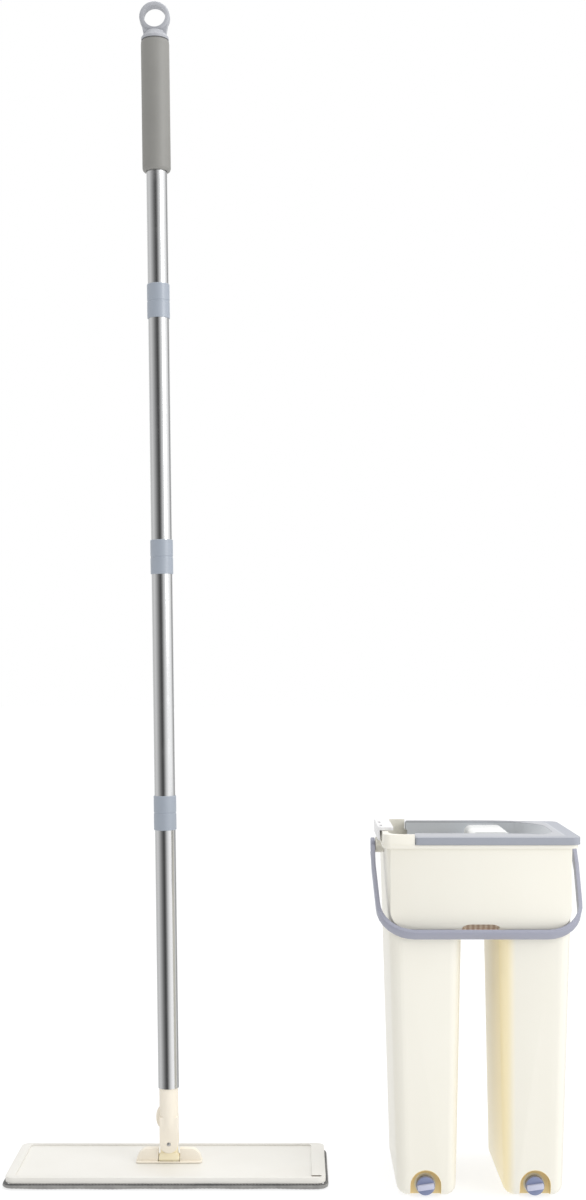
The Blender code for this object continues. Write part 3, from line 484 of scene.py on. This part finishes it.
def bucket_plastic(name):
    """Cream plastic, with painted warm bounce light on the right leg's inner face and in the drain bays, and
    painted shade with lit rib crests in the arch.
    """
    warm, bay_lit_cream, bay_bounce_yellow = (1.0, 0.88, 0.58), (0.99, 0.97, 0.88), (1.0, 0.79, 0.36)
    rib_shade_brown, rib_lit_tan, rib_spacing = (0.60, 0.42, 0.30), (0.84, 0.70, 0.56), 0.0052
    springing, bay_top = 0.0012, 0.0266
    bay_edge, hole_edge, fade_up = (0.0152, 0.0157), (0.0100, 0.0110), (0.255, 0.272)
    arch_foot, arch_crown, arch_side = (0.2615, 0.2620), (0.2730, 0.2735), (0.0180, 0.0190)
    material = moulded(name, (0.880, 0.858, 0.772), (0.864, 0.838, 0.745), 0.36)
    shader, place, skin = reopen(material)
    x, y, z = place.along("X"), place.along("Y"), place.along("Z")
    aside = (x - body_x).size()

    # Painted bounce light: the right leg's inner face is tinted warm yellow, more so toward the front, for
    # the light the cream walls throw on each other.
    inner_face = x.within((body_x + 0.012, body_x + 0.015), (body_x + 0.0255, body_x + 0.0360))
    between_legs = inner_face * (1 - z.between(*fade_up))
    forward = 1 - y.between(body_low.y + 0.02, body_high.y - 0.02)
    with_painted_bounce = (between_legs * (0.45 + 0.55 * forward)).blend(skin, warm)

    # Painted light in the drain bays: a cream ring paler than the body round each plug, and warm yellow
    # bounce light on the bay walls beyond it.
    across, above = aside - plug_x, z - plug_z
    spread = (across * across + above * above) ** 0.5
    over_springing = (above - springing).at_least(0.0)
    reach = (across * across + over_springing * over_springing) ** 0.5
    at_front = 1 - y.between(body_low.y + 0.017, body_low.y + 0.021)
    bay = at_front * (1 - reach.between(*bay_edge)) * (1 - z.between(bay_top, bay_top + 0.0006))
    bay_painted_light = spread.between(*hole_edge).blend(bay_lit_cream, bay_bounce_yellow)

    # Painted shade in the arch under the basin: brown shade, with stripes of paler painted light on the
    # crests of its ribs.
    arch_front = body_low.y + 0.0085, body_low.y + 0.0089
    arch_back = body_low.y + 0.0135, body_low.y + 0.0140
    behind_arch = y.within(arch_front, arch_back)
    in_arch = behind_arch * (1 - aside.between(*arch_side)) * z.within(arch_foot, arch_crown)
    rib_light_and_shade = (x * (math.tau / rib_spacing)).sine() * 0.5 + 0.5
    arch_painted_shade = in_arch.blend(with_painted_bounce, rib_light_and_shade.blend(rib_shade_brown, rib_lit_tan))
    bay.blend(arch_painted_shade, bay_painted_light).into(shader["Base Color"])
    return material


finish_node("bucket_body", bucket_plastic("cream_plastic"))
finish_node("pole_clip", moulded("clip_plastic", (0.82, 0.815, 0.82), (0.79, 0.785, 0.79), 0.38))
seal_rubber = moulded("seal_rubber", (0.045, 0.045, 0.05), (0.03, 0.03, 0.033), 0.6, grain=1800.0, gloss=0.35)


def plug_plastic(name):
    """Blue plastic, with painted light on the front of the grip bar."""
    material = moulded(name, (0.255, 0.295, 0.46), (0.235, 0.27, 0.43), 0.36)
    shader, place, skin = reopen(material)
    bar_painted_light = 1 - place.along("Y").between(plug_low.y + 0.0030, plug_low.y + 0.0036)
    # Painted light: the front of the grip bar, which stands out of the shaded bay, is coloured paler.
    bar_painted_light.blend(skin, (0.56, 0.58, 0.72)).into(shader["Base Color"])
    return material


for side in ("left", "right"):
    finish_node(f"drain_seal_{side}", seal_rubber)
    finish_node(f"drain_plug_{side}", plug_plastic(f"plug_plastic_{side}"))


# --- Squeeze lid and block ------------------------------------------------------------------------
# The lid is a blue-grey moulding that is pressed on the rim, with painted light making its top paler and its
# tray paler still. The squeeze block is glossy white acetal, and slides in the lid against its springs.

lid_low, lid_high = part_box("lid_frame")


def lid_plastic(name):
    """Blue-grey plastic, with painted light making the lid's top paler and its tray palest."""
    top_lit_grey, tray_lit_grey = (0.45, 0.46, 0.49), (0.60, 0.625, 0.655)
    tray_front = lid_low.y + 0.0180, lid_low.y + 0.0188
    tray_back = lid_high.y - 0.0188, lid_high.y - 0.0180
    tray_right = lid_high.x - 0.0140, lid_high.x - 0.0125
    material = moulded(name, (0.355, 0.375, 0.425), (0.335, 0.355, 0.405), 0.40)
    shader, place, skin = reopen(material)
    # Painted light: the top faces and the tray are coloured paler for the light that falls on them from
    # above.
    on_top = place.along("Z").between(lid_high.z - 0.0028, lid_high.z - 0.0018)
    sunk = 1 - place.along("Z").between(lid_high.z - 0.0026, lid_high.z - 0.0020)
    in_tray = place.along("Y").within(tray_front, tray_back) * sunk
    in_tray = in_tray * (1 - place.along("X").between(*tray_right))
    in_tray.blend(on_top.blend(skin, top_lit_grey), tray_lit_grey).into(shader["Base Color"])
    return material


finish_node("lid_frame", lid_plastic("lid_plastic"))
finish_node("wringer_block", moulded("block_plastic", (0.88, 0.89, 0.875), (0.86, 0.87, 0.85), 0.20))


# --- Bail handle ----------------------------------------------------------------------------------
# A strap of blue-grey polypropylene, moulded straight and bent round its corners. Its two pegs are
# sprung into the holes in the sides of the bucket.

finish_node("bail_handle", moulded("bail_plastic", (0.345, 0.355, 0.435), (0.325, 0.335, 0.41), 0.40))


# --- The set: floor, light and camera -------------------------------------------------------------
# A plain white floor in a white room. The room is bright on the right and dark in a narrow band by the
# camera, which the steel tubes mirror.

def white_floor():
    """A floor just under the pieces, which matt surfaces see and the steel tubes don't mirror."""
    bpy.ops.object.select_all(action="DESELECT")
    bpy.ops.mesh.primitive_plane_add(size=30.0, location=(0.0, 0.0, -0.0003))
    floor = bpy.context.object
    floor.name = "floor"
    material, shader, place = start_material("floor_white", 0.9)
    shader["Specular IOR Level"].default_value = 0.1
    place.noise(3.0).blend((0.32, 0.32, 0.32), (0.34, 0.34, 0.34)).into(shader["Base Color"])
    shader["Emission Color"].default_value = (1.0, 1.0, 1.0, 1.0)
    shader["Emission Strength"].default_value = 0.72
    floor.data.materials.append(material)
    floor.visible_glossy = False


def white_room():
    """A world that is plain white to the eye and to matt surfaces, and banded to glossy ones."""
    world = bpy.data.worlds.new("white_room")
    world.use_nodes = True
    tree = world.node_tree
    direction = Value(tree, tree.nodes.new("ShaderNodeTexCoord").outputs["Generated"])
    around = direction.maths("ARCTAN2", direction.along("X"), direction.along("Y") * -1.0)
    turn = around * (0.5 / math.pi) + 0.5
    # Degrees round from the camera's side, positive to the right, and the light there.
    bands = (
        (-180, 1.1), (-150, 1.0), (-128, 0.70), (-89, 0.85), (-60, 0.52), (-35, 0.22), (-17, 0.09),
        (-6, 0.09), (5, 0.30), (23, 0.80), (47, 1.25), (89, 1.35), (112, 0.90), (132, 0.30), (152, 0.8),
        (180, 1.1),
    )
    stops = [(0.5 + angle / 360, (light,) * 3) for angle, light in bands]
    banded = turn.node("ShaderNodeValToRGB", {"stops": stops}, {"Fac": turn})
    overhead = direction.along("Z").between(0.30, 0.55).blend(banded, (1.15, 1.15, 1.15))
    rays = tree.nodes.new("ShaderNodeLightPath")
    glossy = Value(tree, rays.outputs["Is Glossy Ray"])
    side = direction.along("X").between(-1.0, 1.0).blend((0.37, 0.37, 0.37), (0.90, 0.90, 0.90))
    matt = direction.along("Z").between(0.15, 0.85).blend(side, (1.0, 1.0, 1.0))
    seen = glossy.blend(matt, overhead)
    camera = Value(tree, rays.outputs["Is Camera Ray"])
    camera.blend(seen, (1.0, 1.0, 1.0)).into(tree.nodes["Background"].inputs["Color"])
    bpy.context.scene.world = world


def soft_light(name, power, size, place, aim):
    """A rectangular area light, turned from its place to face its aim."""
    light = bpy.data.lights.new(name, "AREA")
    light.energy = power
    light.shape = "RECTANGLE"
    light.size, light.size_y = size
    lamp = bpy.data.objects.new(name, light)
    lamp.location = place
    lamp.rotation_euler = (Vector(aim) - Vector(place)).to_track_quat("-Z", "Y").to_euler()
    bpy.context.scene.collection.objects.link(lamp)


def level_camera():
    """A level camera in front of the mop, with its frame moved up a little."""
    distance, eye_height = 1.7, 0.541
    mop_low, mop_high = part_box("head_plate")
    camera = bpy.data.cameras.new("camera")
    camera.lens = 48.6
    camera.sensor_width = 36.0
    camera.shift_y = 0.046
    eye = bpy.data.objects.new("camera", camera)
    eye.location = (0.0006, (mop_low.y + mop_high.y) / 2 - distance, eye_height)
    eye.rotation_euler = (math.radians(90), 0.0, 0.0)
    bpy.context.scene.collection.objects.link(eye)
    bpy.context.scene.camera = eye


white_floor()
white_room()
soft_light("key_light", power=17.0, size=(1.2, 1.8), place=(1.9, -1.3, 1.5), aim=(0.0, 0.0, 0.4))
soft_light("top_light", power=12.0, size=(1.6, 1.2), place=(0.2, 0.3, 2.4), aim=(0.1, 0.0, 0.2))
level_camera()
bpy.context.scene.view_settings.view_transform = "Standard"
